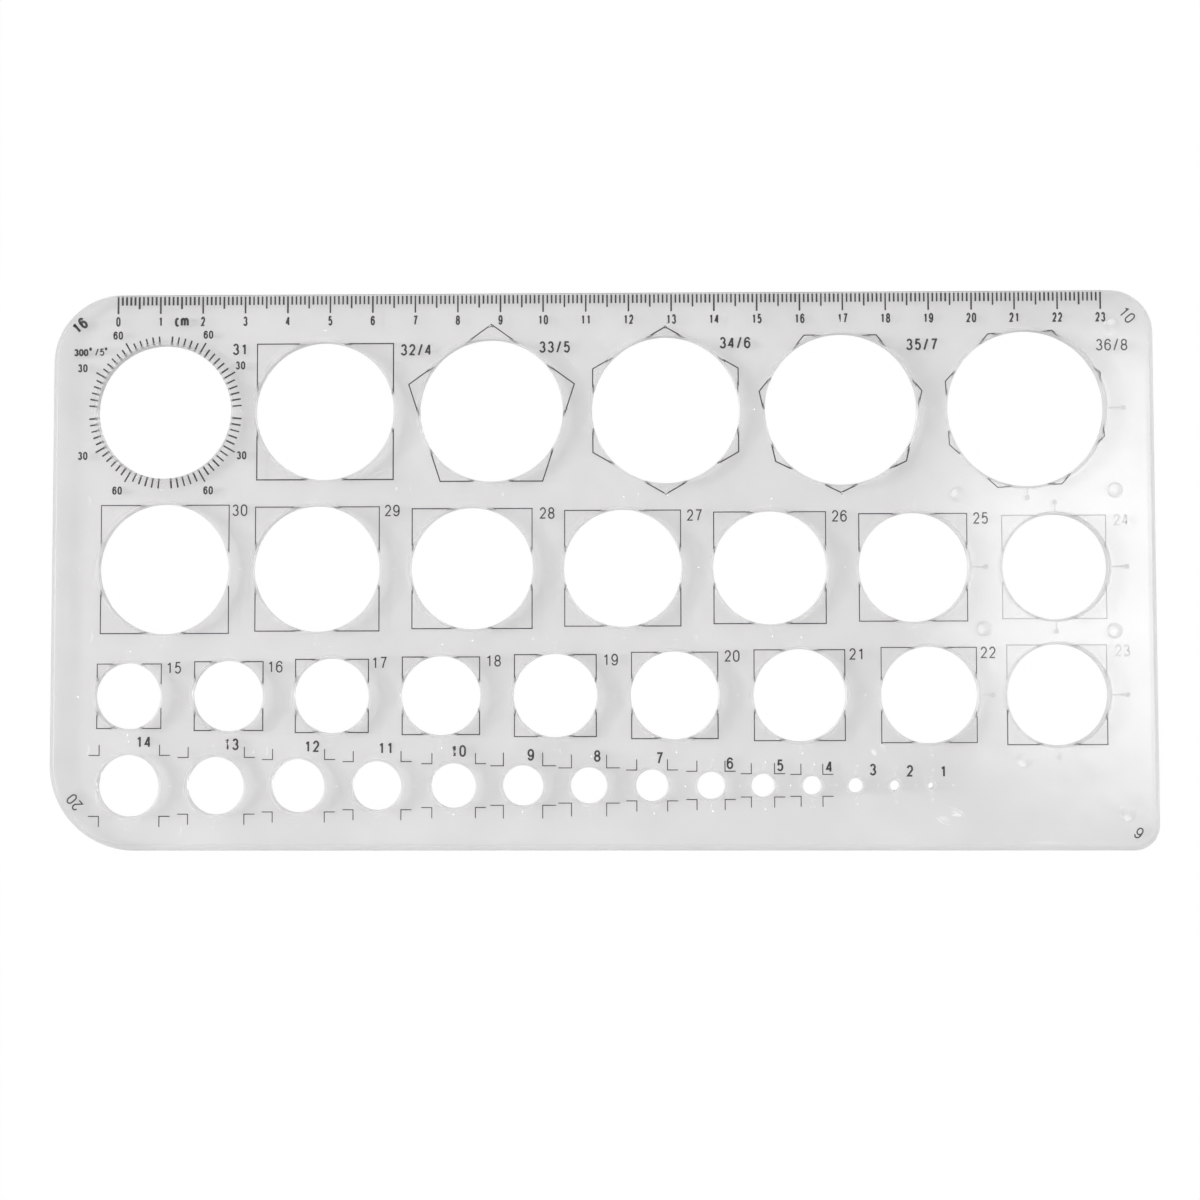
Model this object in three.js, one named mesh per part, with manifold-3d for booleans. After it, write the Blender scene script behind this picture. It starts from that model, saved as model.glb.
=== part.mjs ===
// Clear drawing template: one moulded plate with round holes of 1 to 36 mm, and ink pressed into its underside.
// Millimetres, +Z up. X runs along the plate and +Y points to the ruler edge.
// The origin lies under the middle of the plate, on the surface that the template rests on.
import * as THREE from 'three';
import { mergeVertices } from 'three/addons/utils/BufferGeometryUtils.js';
import Module from 'manifold-3d';

// Plate
const PLATE_THICKNESS = 2;
const EDGE_BEVEL = 1.2; // slope width on the plain edges, seen from above
const RULER_EDGE_BEVEL = 0.4; // slope width on the ruler edge
const EDGE_LAND = 0.8; // upright foot under the slope
const CORNER_RADIUS_RULER_LEFT = 16;
const CORNER_RADIUS_RULER_RIGHT = 10;
const CORNER_RADIUS_FOOT_LEFT = 20;
const CORNER_RADIUS_FOOT_RIGHT = 6;

// Ruler, measured from the left edge of the plate
const RULER_ZERO = 15;
const RULER_LENGTH = 230;
const RULER_END_MARGIN = 12;
const CENTIMETRE = 10;
const CENTIMETRE_MARK_LENGTH = 4;
const RULER_MARK_WIDTH = 0.3;
const RULER_FIGURE_ROOM = 5.3; // from the end of the long marks to the largest hole

// Holes: each is named by the number of the circle it draws, and opens out towards the top
const CIRCLE_STEP = 1; // diameter of circle 1, and the step from each circle to the next
const LEAD_ALLOWANCE = 0.3; // added to the diameter, for the thickness of the lead
const WALL_DRAFT = 0.08; // how far the wall leans out between the underside and the bevel
const RIM_BEVEL = 0.57; // width of the shallow bevel around each hole, seen from above
const RIM_BEVEL_DEPTH = 0.12;
const SIDE_MARGIN = 11.5; // least plate left of and right of a row
const FOOT_MARGIN = 8; // plate below the last row

// Rows from the ruler edge down: the indent of the first hole, the circles, the webs between them
// and the gap between this row and the one above
const ROWS = [
  { indent: 10.8, gap: 0, circles: [31, 32, 33, 34, 35, 36], webs: [6.1, 6.5, 7.2, 6.3, 7.3] },
  { indent: 11.5, gap: 3.9, circles: [30, 29, 28, 27, 26, 25, 24], webs: [6.2, 7.7, 7.6, 7.7, 7.7, 8.1] },
  {
    indent: 10.9,
    gap: 3.1,
    circles: [15, 16, 17, 18, 19, 20, 21, 22, 23],
    webs: [7.8, 7.6, 7.9, 8.1, 8.2, 8.4, 8.4, 7],
  },
  {
    indent: 11.6,
    gap: 2.3,
    circles: [14, 13, 12, 11, 10, 9, 8, 7, 6, 5, 4, 3, 2, 1],
    webs: [6.8, 6.7, 6.8, 7.3, 6.6, 6.8, 7.1, 7.1, 6.5, 6.8, 6.5, 6.5, 6.8],
  },
];

// Ink frames: regular polygons drawn around five circles, inked only near their corners
const FRAME_LINE_WIDTH = 0.28;
const FRAME_RIM_GAP = 0.5; // ink stops this far outside the circle
const FRAMES = [
  { name: 'square', circle: 32, corners: 4, firstCorner: 45 },
  { name: 'pentagon', circle: 33, corners: 5, firstCorner: 90 },
  { name: 'hexagon', circle: 34, corners: 6, firstCorner: 90 },
  { name: 'heptagon', circle: 35, corners: 7, firstCorner: -90 },
  { name: 'octagon', circle: 36, corners: 8, firstCorner: 25.5 },
];

// Ink bed: the print lies flush in shallow beds in the underside
const INK_DEPTH = 0.1;
const INK_CLEARANCE = 0.05;

// Facets and cuts
const CHORD_ERROR = 0.04;
const CUT_OVERRUN = 1;

// Materials
const clearPlastic = new THREE.MeshStandardMaterial({
  color: 0xdcdddd,
  roughness: 0.08,
  metalness: 0,
  transparent: true,
  opacity: 0.4,
});
const blackInk = new THREE.MeshStandardMaterial({ color: 0x1c1e22, roughness: 0.6, metalness: 0 });

// Layout: every circle's centre in the plate's frame
const diameter = (circle) => circle * CIRCLE_STEP;
const widest = (row) => diameter(Math.max(...row.circles));
const rowEnd = (row) => {
  const circles = row.circles.reduce((sum, circle) => sum + diameter(circle), 0);
  const webs = row.webs.reduce((sum, web) => sum + web, 0);
  return row.indent + circles + webs;
};
const rulerBand = RULER_EDGE_BEVEL + CENTIMETRE_MARK_LENGTH + RULER_FIGURE_ROOM;
const rowsHeight = ROWS.reduce((sum, row) => sum + row.gap + widest(row), 0);
const plateWidth = rulerBand + rowsHeight + FOOT_MARGIN;
const plateLength = Math.max(
  RULER_ZERO + RULER_LENGTH + RULER_END_MARGIN,
  Math.max(...ROWS.map(rowEnd)) + SIDE_MARGIN,
);
const leftEdge = -plateLength / 2;
const rulerEdge = plateWidth / 2;

function layOutCircles() {
  const centres = new Map();
  let below = rulerBand;
  for (const row of ROWS) {
    const y = rulerEdge - below - row.gap - widest(row) / 2;
    let left = leftEdge + row.indent;
    row.circles.forEach((circle, index) => {
      centres.set(circle, new THREE.Vector2(left + diameter(circle) / 2, y));
      left += diameter(circle) + (row.webs[index] ?? 0);
    });
    below += row.gap + widest(row);
  }
  return centres;
}

// Whole circle segments that keep the chord error, in a multiple of four
function segmentsFor(radius) {
  const error = Math.min(CHORD_ERROR, radius / 4);
  return 4 * Math.ceil(Math.PI / Math.acos(1 - error / radius) / 4);
}

// Plate outline, anticlockwise from above, drawn in by the given bevels
function plateOutline(edgeInset, rulerInset) {
  const x = plateLength / 2;
  const y = plateWidth / 2;
  const corners = [
    { radius: CORNER_RADIUS_FOOT_RIGHT, sideX: 1, sideY: -1, inset: edgeInset, start: -Math.PI / 2 },
    { radius: CORNER_RADIUS_RULER_RIGHT, sideX: 1, sideY: 1, inset: rulerInset, start: 0 },
    { radius: CORNER_RADIUS_RULER_LEFT, sideX: -1, sideY: 1, inset: rulerInset, start: Math.PI / 2 },
    { radius: CORNER_RADIUS_FOOT_LEFT, sideX: -1, sideY: -1, inset: edgeInset, start: Math.PI },
  ];
  const points = [];
  for (const corner of corners) {
    const steps = segmentsFor(corner.radius) / 4;
    const centreX = corner.sideX * (x - corner.radius);
    const centreY = corner.sideY * (y - corner.radius);
    for (let step = 0; step <= steps; step += 1) {
      const angle = corner.start + ((Math.PI / 2) * step) / steps;
      points.push(
        new THREE.Vector2(
          centreX + (corner.radius - edgeInset) * Math.cos(angle),
          centreY + (corner.radius - corner.inset) * Math.sin(angle),
        ),
      );
    }
  }
  return points;
}

// Closed solid through matching outlines at rising heights
function loft(levels) {
  const count = levels[0].points.length;
  const positions = levels.flatMap(({ points, z }) => points.flatMap((point) => [point.x, point.y, z]));
  const index = [];
  for (let level = 0; level + 1 < levels.length; level += 1) {
    for (let i = 0; i < count; i += 1) {
      const a = level * count + i;
      const b = level * count + ((i + 1) % count);
      index.push(a, b, b + count, a, b + count, a + count);
    }
  }
  const top = (levels.length - 1) * count;
  for (const [a, b, c] of THREE.ShapeUtils.triangulateShape(levels[0].points, [])) {
    index.push(c, b, a);
  }
  for (const [a, b, c] of THREE.ShapeUtils.triangulateShape(levels[levels.length - 1].points, [])) {
    index.push(top + a, top + b, top + c);
  }
  const geometry = new THREE.BufferGeometry();
  geometry.setAttribute('position', new THREE.Float32BufferAttribute(positions, 3));
  geometry.setIndex(index);
  return geometry;
}

// Cutter for one hole: a steep wall that stands on the underside and a shallow bevel at the top
function holeCutter(circle, centre) {
  const low = (diameter(circle) + LEAD_ALLOWANCE) / 2;
  const high = low + WALL_DRAFT;
  const rim = high + RIM_BEVEL;
  const profile = [
    new THREE.Vector2(0, -CUT_OVERRUN),
    new THREE.Vector2(low, -CUT_OVERRUN),
    new THREE.Vector2(low, 0),
    new THREE.Vector2(high, PLATE_THICKNESS - RIM_BEVEL_DEPTH),
    new THREE.Vector2(rim, PLATE_THICKNESS),
    new THREE.Vector2(rim, PLATE_THICKNESS + CUT_OVERRUN),
    new THREE.Vector2(0, PLATE_THICKNESS + CUT_OVERRUN),
  ];
  const cutter = new THREE.LatheGeometry(profile, segmentsFor(rim));
  return cutter.rotateX(Math.PI / 2).translate(centre.x, centre.y, 0);
}

// Outline of one centimetre mark, grown by a clearance
function rulerMarkOutline(centimetre, grow) {
  const x = leftEdge + RULER_ZERO + centimetre * CENTIMETRE;
  const start = rulerEdge - RULER_EDGE_BEVEL;
  const half = RULER_MARK_WIDTH / 2 + grow;
  const top = start + Math.min(grow, RULER_EDGE_BEVEL / 2);
  const bottom = start - CENTIMETRE_MARK_LENGTH - grow;
  return [
    new THREE.Vector2(x - half, bottom),
    new THREE.Vector2(x + half, bottom),
    new THREE.Vector2(x + half, top),
    new THREE.Vector2(x - half, top),
  ];
}

// Outline of one bent corner mark of a frame, grown by a clearance
function frameMarkOutline(frame, corner, centre, grow) {
  const radius = diameter(frame.circle) / 2;
  const halfStep = Math.PI / frame.corners;
  const angle = THREE.MathUtils.degToRad(frame.firstCorner) + 2 * halfStep * corner;
  const outer = radius + FRAME_LINE_WIDTH / 2 + grow;
  const inner = radius - FRAME_LINE_WIDTH / 2 - grow;
  const halfGap = Math.sqrt((radius + FRAME_RIM_GAP) ** 2 - radius ** 2) - grow;
  const cornerPoint = (apothem) => {
    const reach = apothem / Math.cos(halfStep);
    return new THREE.Vector2(centre.x + reach * Math.cos(angle), centre.y + reach * Math.sin(angle));
  };
  const endPoint = (apothem, side) => {
    const normal = angle + side * halfStep;
    const along = -side * halfGap;
    return new THREE.Vector2(
      centre.x + apothem * Math.cos(normal) - along * Math.sin(normal),
      centre.y + apothem * Math.sin(normal) + along * Math.cos(normal),
    );
  };
  return [
    endPoint(outer, -1),
    cornerPoint(outer),
    endPoint(outer, 1),
    endPoint(inner, 1),
    cornerPoint(inner),
    endPoint(inner, -1),
  ];
}

// Flat slab of an outline between two heights
function slab(points, low, high) {
  const options = { depth: high - low, bevelEnabled: false };
  return new THREE.ExtrudeGeometry(new THREE.Shape(points), options).translate(0, 0, low);
}

// Every printed mark that has a solid of its own: its name and its outline for a given clearance
function listMarks(centres) {
  const marks = [];
  for (let centimetre = 0; centimetre * CENTIMETRE <= RULER_LENGTH; centimetre += 1) {
    const label = String(centimetre).padStart(2, '0');
    marks.push({
      name: `ruler_mark_${label}_cm`,
      outline: (grow) => rulerMarkOutline(centimetre, grow),
    });
  }
  for (const frame of FRAMES) {
    for (let corner = 0; corner < frame.corners; corner += 1) {
      marks.push({
        name: `${frame.name}_${frame.circle}_corner_${corner + 1}`,
        outline: (grow) => frameMarkOutline(frame, corner, centres.get(frame.circle), grow),
      });
    }
  }
  return marks;
}

// Joins and cuts
const wasm = await Module();
wasm.setup();

function solidOf(geometry) {
  const bare = geometry.clone();
  bare.deleteAttribute('normal');
  bare.deleteAttribute('uv');
  const merged = mergeVertices(bare, 1e-5);
  return new wasm.Manifold(
    new wasm.Mesh({
      numProp: 3,
      vertProperties: new Float32Array(merged.attributes.position.array),
      triVerts: new Uint32Array(merged.index.array),
    }),
  );
}

function geometryOf(solid) {
  const mesh = solid.getMesh();
  const geometry = new THREE.BufferGeometry();
  geometry.setAttribute('position', new THREE.Float32BufferAttribute(mesh.vertProperties, 3));
  geometry.setIndex(Array.from(mesh.triVerts));
  geometry.computeVertexNormals();
  return geometry;
}

// Plate with its bevelled edges, its holes and the beds of the printed marks
function buildPlate(centres, marks) {
  const foot = plateOutline(0, 0);
  const face = plateOutline(EDGE_BEVEL, RULER_EDGE_BEVEL);
  let plate = solidOf(
    loft([
      { points: foot, z: 0 },
      { points: foot, z: EDGE_LAND },
      { points: face, z: PLATE_THICKNESS },
    ]),
  );
  for (const [circle, centre] of centres) {
    plate = plate.subtract(solidOf(holeCutter(circle, centre)));
  }
  for (const mark of marks) {
    plate = plate.subtract(solidOf(slab(mark.outline(INK_CLEARANCE), -CUT_OVERRUN, INK_DEPTH)));
  }
  return geometryOf(plate);
}

function namedMesh(name, geometry, material) {
  const mesh = new THREE.Mesh(geometry, material);
  mesh.name = name;
  return mesh;
}

const centres = layOutCircles();
const marks = listMarks(centres);

const print = new THREE.Group();
for (const mark of marks) {
  print.add(namedMesh(mark.name, slab(mark.outline(0), 0, INK_DEPTH), blackInk));
}

const template = new THREE.Group();
template.add(namedMesh('template_plate', buildPlate(centres, marks), clearPlastic));
template.add(print);

export default template;
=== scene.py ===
"""Clear drawing template with round holes, a ruler edge and black print."""

import logging
import math
import random
from dataclasses import dataclass, field
from enum import Enum, IntEnum
from typing import Iterable, Sequence

import bmesh
import bpy
from bmesh.types import BMEdge, BMesh, BMFace, BMVert
from bpy.types import Material, Node, NodeSocket, NodeTree, Object
from mathutils import Matrix, Vector


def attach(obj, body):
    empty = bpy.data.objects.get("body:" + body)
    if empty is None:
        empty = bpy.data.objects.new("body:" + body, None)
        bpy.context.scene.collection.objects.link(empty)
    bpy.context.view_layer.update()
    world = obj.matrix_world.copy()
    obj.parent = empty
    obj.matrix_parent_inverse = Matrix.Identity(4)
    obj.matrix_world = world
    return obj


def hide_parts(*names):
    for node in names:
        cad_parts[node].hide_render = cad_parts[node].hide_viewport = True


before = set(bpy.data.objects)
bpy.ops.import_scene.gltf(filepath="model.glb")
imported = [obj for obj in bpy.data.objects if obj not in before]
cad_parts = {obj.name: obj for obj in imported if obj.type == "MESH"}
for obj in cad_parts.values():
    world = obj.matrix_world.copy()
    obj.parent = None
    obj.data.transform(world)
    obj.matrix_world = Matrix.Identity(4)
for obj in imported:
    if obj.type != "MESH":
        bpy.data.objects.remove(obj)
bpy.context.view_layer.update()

LOG = logging.getLogger("template")
MM = 0.001
Pair = tuple[float, float]
Triple = tuple[float, float, float]
BODY = "root"
UP = Vector((0.0, 0.0, 1.0))
SEED = 36
NOISE_SPAN = (0.3, 0.7)
LEVEL_SPAN = 1e-4
BEND_LEAST = 1e-6
MITRE_LEAST = 0.5


class Slot(Enum):
    """Material slots of the record."""

    PLASTIC = "clear_plastic"
    INK = "black_ink"


def flat(x: float, y: float) -> Vector:
    """Point on the plate's plane, in millimetres."""
    return Vector((x, y))


def polar(centre: Vector, radius: float, degrees: float) -> Vector:
    """Point at a radius and an angle from a centre, in millimetres."""
    angle = math.radians(degrees)
    return centre + radius * flat(math.cos(angle), math.sin(angle))


def arc(
    x: float, y: float, rx: float, ry: float, start: float, end: float, steps: int
) -> list[Vector]:
    """Points along part of an ellipse.

    Args:
        x, y: Middle of the ellipse.
        rx, ry: Half its width and half its height.
        start, end: First and last angle in degrees.
        steps: Number of stretches between the points.

    Returns:
        The points, from start to end.
    """
    points = []
    for step in range(steps + 1):
        angle = math.radians(start + (end - start) * step / steps)
        points.append(flat(x + rx * math.cos(angle), y + ry * math.sin(angle)))
    return points


# Layout of the holes


@dataclass(frozen=True)
class Hole:
    """One round hole and where its figure stands, in millimetres from the hole's middle."""

    circle: int
    web: float
    figure_right: float
    figure_up: float
    polygon: int = 0

    @property
    def radius(self) -> float:
        """Radius of the circle that the hole draws."""
        return self.circle / 2

    @property
    def text(self) -> str:
        """Figure of the hole, with the number of sides of its polygon."""
        return f"{self.circle}/{self.polygon}" if self.polygon else str(self.circle)


@dataclass(frozen=True)
class HoleRow:
    """One row of holes: its indent from the left edge, its middle line and its holes."""

    indent: float
    middle: float
    holes: tuple[Hole, ...]


def hole_row(indent: float, middle: float, *holes: Hole) -> HoleRow:
    """Row of holes from its parts."""
    return HoleRow(indent, middle, holes)


ROW_OF_POLYGONS = hole_row(
    10.8,
    37.3,
    Hole(31, 6.1, 17.5, 14.8),
    Hole(32, 6.5, 21.3, 14.5, 4),
    Hole(33, 7.2, 14.8, 15.0, 5),
    Hole(34, 6.3, 16.3, 15.8, 6),
    Hole(35, 7.3, 19.0, 15.2, 7),
    Hole(36, 0.0, 20.3, 14.9, 8),
)
ROW_OF_LARGE = hole_row(
    11.5,
    0.4,
    Hole(30, 6.2, 17.5, 13.8),
    Hole(29, 7.7, 17.5, 13.6),
    Hole(28, 7.6, 17.5, 12.9),
    Hole(27, 7.7, 16.7, 12.3),
    Hole(26, 7.7, 16.2, 12.0),
    Hole(25, 8.1, 15.7, 11.4),
    Hole(24, 0.0, 15.5, 10.9),
)
ROW_OF_MIDDLE = hole_row(
    10.9,
    -29.2,
    Hole(15, 7.8, 10.4, 6.6),
    Hole(16, 7.6, 10.8, 6.8),
    Hole(17, 7.9, 11.0, 7.7),
    Hole(18, 8.1, 12.2, 8.1),
    Hole(19, 8.2, 12.8, 8.3),
    Hole(20, 8.4, 13.3, 9.1),
    Hole(21, 8.4, 13.3, 9.5),
    Hole(22, 7.0, 13.7, 9.8),
    Hole(23, 0.0, 15.2, 10.2),
)
ROW_OF_SMALL = hole_row(
    11.6,
    -50.0,
    Hole(14, 6.8, 3.3, 10.2),
    Hole(13, 6.7, 3.5, 9.6),
    Hole(12, 6.8, 3.1, 9.1),
    Hole(11, 7.3, 2.0, 8.7),
    Hole(10, 6.6, 1.1, 8.0),
    Hole(9, 6.8, 1.8, 7.1),
    Hole(8, 7.1, 1.9, 6.8),
    Hole(7, 7.1, 1.7, 6.3),
    Hole(6, 6.5, 4.4, 5.1),
    Hole(5, 6.8, 4.0, 4.6),
    Hole(4, 6.5, 4.0, 4.3),
    Hole(3, 6.5, 4.1, 3.6),
    Hole(2, 6.8, 3.6, 3.3),
    Hole(1, 0.0, 3.0, 3.2),
)


@dataclass
class Layout:
    """Places of everything on the plate, in millimetres from the plate's middle."""

    length: float = 257.0
    width: float = 130.0
    ruler_zero: float = 15.0
    ruler_length: int = 230
    rows: tuple[HoleRow, ...] = (ROW_OF_POLYGONS, ROW_OF_LARGE, ROW_OF_MIDDLE, ROW_OF_SMALL)
    centres: dict[int, Vector] = field(default_factory=dict)

    def __post_init__(self) -> None:
        """Sets out each row from its indent and its webs."""
        for row in self.rows:
            left = self.left_edge + row.indent
            for hole in row.holes:
                self.centres[hole.circle] = flat(left + hole.radius, row.middle)
                left += hole.circle + hole.web

    @property
    def half_size(self) -> Vector:
        """Half the length and half the width of the plate."""
        return flat(self.length, self.width) / 2

    @property
    def left_edge(self) -> float:
        """Left edge of the plate."""
        return -self.half_size.x

    @property
    def ruler_edge(self) -> float:
        """Edge that carries the ruler."""
        return self.half_size.y

    def ruler_x(self, millimetre: float) -> float:
        """Place of a ruler mark along the plate."""
        return self.left_edge + self.ruler_zero + millimetre

    def holes(self) -> Iterable[tuple[Hole, Vector]]:
        """Each hole with its middle."""
        return ((hole, self.centres[hole.circle]) for row in self.rows for hole in row.holes)


# Finishes


def add_node(tree: NodeTree, kind: str, **values: object) -> Node:
    """Adds a shader node and sets its plain properties.

    Args:
        tree: Node tree of the material or the world.
        kind: Type of the node, without the prefix that all types share.
        values: Properties of the node by name.

    Returns:
        The node.
    """
    node = tree.nodes.new(f"ShaderNode{kind}")
    for name, value in values.items():
        setattr(node, name, value)
    return node


def wire(source: Node, output: str | int, target: Node, socket: str | int) -> None:
    """Links an output of one shader node to an input of another."""
    source.id_data.links.new(source.outputs[output], target.inputs[socket])


def feed(node: Node, values: dict[str | int, object]) -> None:
    """Sets constants on the sockets of a shader node."""
    for socket, value in values.items():
        node.inputs[socket].default_value = value


def show_mixed(share: NodeSocket, first: Node, second: Node) -> None:
    """Makes a mix of two shaders the surface of their material.

    Args:
        share: Share of the second shader.
        first, second: The shader nodes.
    """
    tree = first.id_data
    choice = add_node(tree, "MixShader")
    tree.links.new(share, choice.inputs["Fac"])
    wire(first, 0, choice, 1)
    wire(second, 0, choice, 2)
    wire(choice, "Shader", add_node(tree, "OutputMaterial"), "Surface")


def new_material(name: str) -> tuple[Material, NodeTree]:
    """Makes an empty node material.

    Args:
        name: Name of the material.

    Returns:
        The material and its node tree.
    """
    material = bpy.data.materials.new(name)
    material.use_nodes = True
    material.node_tree.nodes.clear()
    return material, material.node_tree


def noise(tree: NodeTree, scale: float, detail: float) -> Node:
    """Noise on Object coordinates.

    Args:
        tree: Node tree of the material.
        scale: Number of cells in a metre.
        detail: Number of finer layers.

    Returns:
        The noise node.
    """
    place = add_node(tree, "TexCoord")
    grain = add_node(tree, "TexNoise")
    feed(grain, {"Scale": scale, "Detail": detail})
    wire(place, "Object", grain, "Vector")
    return grain


def uneven_surface(grain: Node, tones: Sequence[Triple], gloss: Pair) -> Node:
    """Surface whose colour and gloss wander with a noise.

    Args:
        grain: The noise.
        tones: Colours at its low and its high spots.
        gloss: Roughness at the same spots.

    Returns:
        The surface's shader node.
    """
    tree = grain.id_data
    surface = add_node(tree, "BsdfPrincipled")
    tone = add_node(tree, "ValToRGB")
    for stop, place, colour in zip(tone.color_ramp.elements, NOISE_SPAN, tones):
        stop.position = place
        stop.color = (*colour, 1.0)
    rough = add_node(tree, "MapRange")
    ends = ("From Min", "From Max", "To Min", "To Max")
    feed(rough, dict(zip(ends, (*NOISE_SPAN, *gloss))))
    wire(grain, "Fac", tone, "Fac")
    wire(tone, "Color", surface, "Base Color")
    wire(grain, "Fac", rough, "Value")
    wire(rough, "Result", surface, "Roughness")
    return surface


def add_relief(surface: Node, grain: Node, strength: float, height: float) -> None:
    """Bends a surface's normals with a noise.

    Args:
        surface: The surface.
        grain: The noise.
        strength: Share of the bend that is used.
        height: Height of the relief in millimetres.
    """
    relief = add_node(surface.id_data, "Bump")
    feed(relief, {"Strength": strength, "Distance": height * MM})
    wire(grain, "Fac", relief, "Height")
    wire(relief, "Normal", surface, "Normal")


@dataclass(frozen=True)
class ClearPlastic:
    """Clear moulded plastic with a slight grey cast, lightly handled."""

    name: str = "clear_plastic"
    cast_low: Triple = (0.717, 0.708, 0.710)
    cast_high: Triple = (0.755, 0.746, 0.748)
    clear: float = 1.0
    passing: float = 0.86
    refraction: float = 1.49
    gloss_low: float = 0.02
    gloss_high: float = 0.05
    cloud_scale: float = 55.0
    cloud_detail: float = 3.0
    wave_scale: float = 130.0
    wave_detail: float = 1.0
    wave_strength: float = 0.3
    wave_height: float = 0.08

    def material(self) -> Material:
        """Makes the material.

        Returns:
            Plastic that bends light and lets a share of it through in shadows.
        """
        material, tree = new_material(self.name)
        clouds = noise(tree, self.cloud_scale, self.cloud_detail)
        cast = (self.cast_low, self.cast_high)
        surface = uneven_surface(clouds, cast, (self.gloss_low, self.gloss_high))
        feed(surface, {"IOR": self.refraction, "Transmission Weight": self.clear})
        waves = noise(tree, self.wave_scale, self.wave_detail)
        add_relief(surface, waves, self.wave_strength, self.wave_height)
        passing = add_node(tree, "BsdfTransparent")
        feed(passing, {"Color": (self.passing, self.passing, self.passing, 1.0)})
        path = add_node(tree, "LightPath")
        show_mixed(path.outputs["Is Shadow Ray"], surface, passing)
        return material


@dataclass(frozen=True)
class PrintInk:
    """Black screen ink, a little uneven where it was pressed on."""

    name: str = "black_ink"
    dark: Triple = (0.006, 0.006, 0.007)
    worn: Triple = (0.022, 0.022, 0.025)
    gloss_low: float = 0.42
    gloss_high: float = 0.62
    grain_scale: float = 2600.0
    grain_detail: float = 2.0
    grain_strength: float = 0.4
    grain_height: float = 0.006

    def material(self) -> Material:
        """Makes the material.

        Returns:
            Ink with an uneven tone and a fine grain.
        """
        material, tree = new_material(self.name)
        grain = noise(tree, self.grain_scale, self.grain_detail)
        tones = (self.dark, self.worn)
        surface = uneven_surface(grain, tones, (self.gloss_low, self.gloss_high))
        add_relief(surface, grain, self.grain_strength, self.grain_height)
        wire(surface, "BSDF", add_node(tree, "OutputMaterial"), "Surface")
        return material


GLOSS_PLASTIC = ClearPlastic()
BEVEL_PLASTIC = ClearPlastic("matt_plastic", passing=0.4, gloss_low=0.34, gloss_high=0.46)
WALL_PLASTIC = ClearPlastic(
    "wall_plastic", clear=0.42, passing=0.35, gloss_low=0.4, gloss_high=0.55
)
BLACK_INK = PrintInk()
# Painted glare: black print paled to grey where the studio glare on the right washes over it. The
# first is for the frame corners of holes 23 and 24, the second for their figures.
FRAME_GLARE_INK = PrintInk("frame_glare_ink", dark=(0.36, 0.36, 0.37), worn=(0.46, 0.46, 0.47))
FIGURE_GLARE_INK = PrintInk("figure_glare_ink", dark=(0.53, 0.53, 0.54), worn=(0.63, 0.63, 0.64))


def add_object(name: str, data: bpy.types.ID) -> Object:
    """Makes an object and links it to the scene.

    Args:
        name: Name of the object.
        data: Its mesh, lamp or camera.

    Returns:
        The object.
    """
    made = bpy.data.objects.new(name, data)
    bpy.context.scene.collection.objects.link(made)
    return made


def make_piece(bm: BMesh, name: str, material: Material) -> Object:
    """Turns a finished bmesh into an object at the origin, in metres.

    Args:
        bm: Mesh in millimetres, which is freed.
        name: Name of the piece.
        material: Its finish.

    Returns:
        The object, linked to the scene.
    """
    bmesh.ops.recalc_face_normals(bm, faces=bm.faces[:])
    bmesh.ops.scale(bm, vec=(MM, MM, MM), verts=bm.verts[:])
    mesh = bpy.data.meshes.new(name)
    bm.to_mesh(mesh)
    bm.free()
    mesh.materials.append(material)
    return add_object(name, mesh)


def of_kind(geometry: Iterable[object], kind: type) -> list:
    """Points, edges or faces among what an operator made."""
    return [item for item in geometry if isinstance(item, kind)]


def join(bm: BMesh, part: BMesh) -> None:
    """Adds a part to a bmesh.

    Args:
        bm: Mesh that takes the part.
        part: Mesh of the part, which is freed.
    """
    carrier = bpy.data.meshes.new("carrier")
    part.to_mesh(carrier)
    part.free()
    bm.from_mesh(carrier)
    bpy.data.meshes.remove(carrier)


# Plate


class Finish(IntEnum):
    """Finishes of the plate's faces, in the order of its materials."""

    GLOSS = 0
    MATT = 1
    WALL = 2


class Corner(Enum):
    """Corners of the plate as the signs of their sides, anticlockwise."""

    FOOT_RIGHT = (1, -1)
    RULER_RIGHT = (1, 1)
    RULER_LEFT = (-1, 1)
    FOOT_LEFT = (-1, -1)


CORNER_RADII = {
    Corner.FOOT_RIGHT: 6.0,
    Corner.RULER_RIGHT: 10.0,
    Corner.RULER_LEFT: 16.0,
    Corner.FOOT_LEFT: 20.0,
}


@dataclass(frozen=True)
class EdgeLevel:
    """One height of the edge, and how far the plain sides and the ruler side are drawn in."""

    height: float
    plain: float
    ruler: float


PIN_MARKS = (
    (118.8, 56.5), (-46.0, 18.8), (-21.2, 17.4), (10.2, 17.2),
    (82.6, 17.2), (118.9, 18.1), (-120.9, 16.2), (-120.0, -15.3),
    (-14.2, -15.8), (23.4, -15.7), (88.4, -13.9), (118.4, -14.4),
    (-120.6, -41.4), (-79.0, -41.8), (-7.9, -41.6), (63.7, -41.8),
    (97.2, -44.3), (120.8, -56.6), (-99.0, -60.0),
)
Slopes = Sequence[Pair]


@dataclass(frozen=True)
class RoundMark:
    """Round dent, with the width and depth of each slope and its stretch along the plate."""

    radius: float
    slopes: Slopes
    sides: int
    stretch: float = 1.0


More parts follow.
